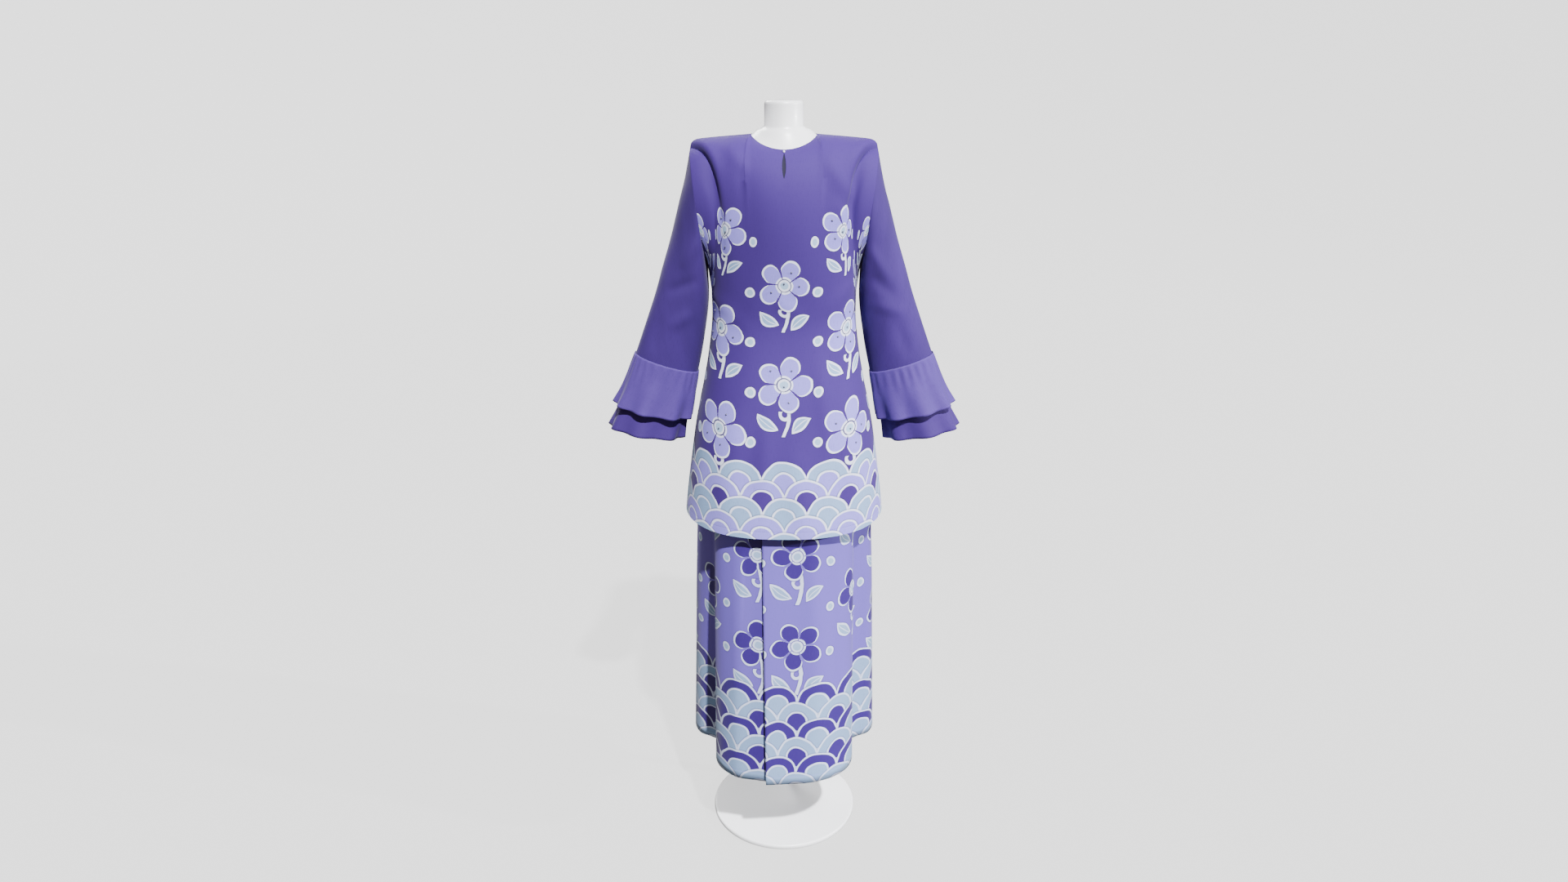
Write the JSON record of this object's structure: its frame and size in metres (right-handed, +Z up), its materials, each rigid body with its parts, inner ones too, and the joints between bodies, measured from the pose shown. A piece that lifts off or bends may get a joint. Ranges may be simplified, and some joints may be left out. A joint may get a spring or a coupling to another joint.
{
  "type": "baju kurung on a dress form",
  "caption": "Baju kurung: long violet tunic with ruffled cuffs and keyhole neck over a lavender wrap skirt, on a white limbless dress form.",
  "frame": {"origin": "centre of the base's underside, on the floor under the form's axis", "axes": "+Z up; the front of the garment faces -Y; +X to the right of someone who looks at the front"},
  "size_m": [0.77, 0.4487, 1.678],
  "materials": {
    "violet_cloth": "matt woven cotton",
    "ruffle_cloth": "matt woven cotton",
    "lavender_cloth": "matt woven cotton",
    "form_white": "smooth semi-gloss lacquer",
    "button_pearl": "pearl gloss"
  },
  "bodies": {
    "root": {"tunic_front": "violet_cloth", "tunic_back": "violet_cloth", "neck_button": "button_pearl", "sleeve_left": "violet_cloth", "ruffle_upper_left": "ruffle_cloth", "ruffle_lower_left": "violet_cloth", "sleeve_right": "violet_cloth", "ruffle_upper_right": "ruffle_cloth", "ruffle_lower_right": "violet_cloth", "skirt": "lavender_cloth", "skirt_waistband": "lavender_cloth", "form_torso": "form_white", "form_pole": "form_white", "form_base": "form_white"}
  },
  "joints": []
}
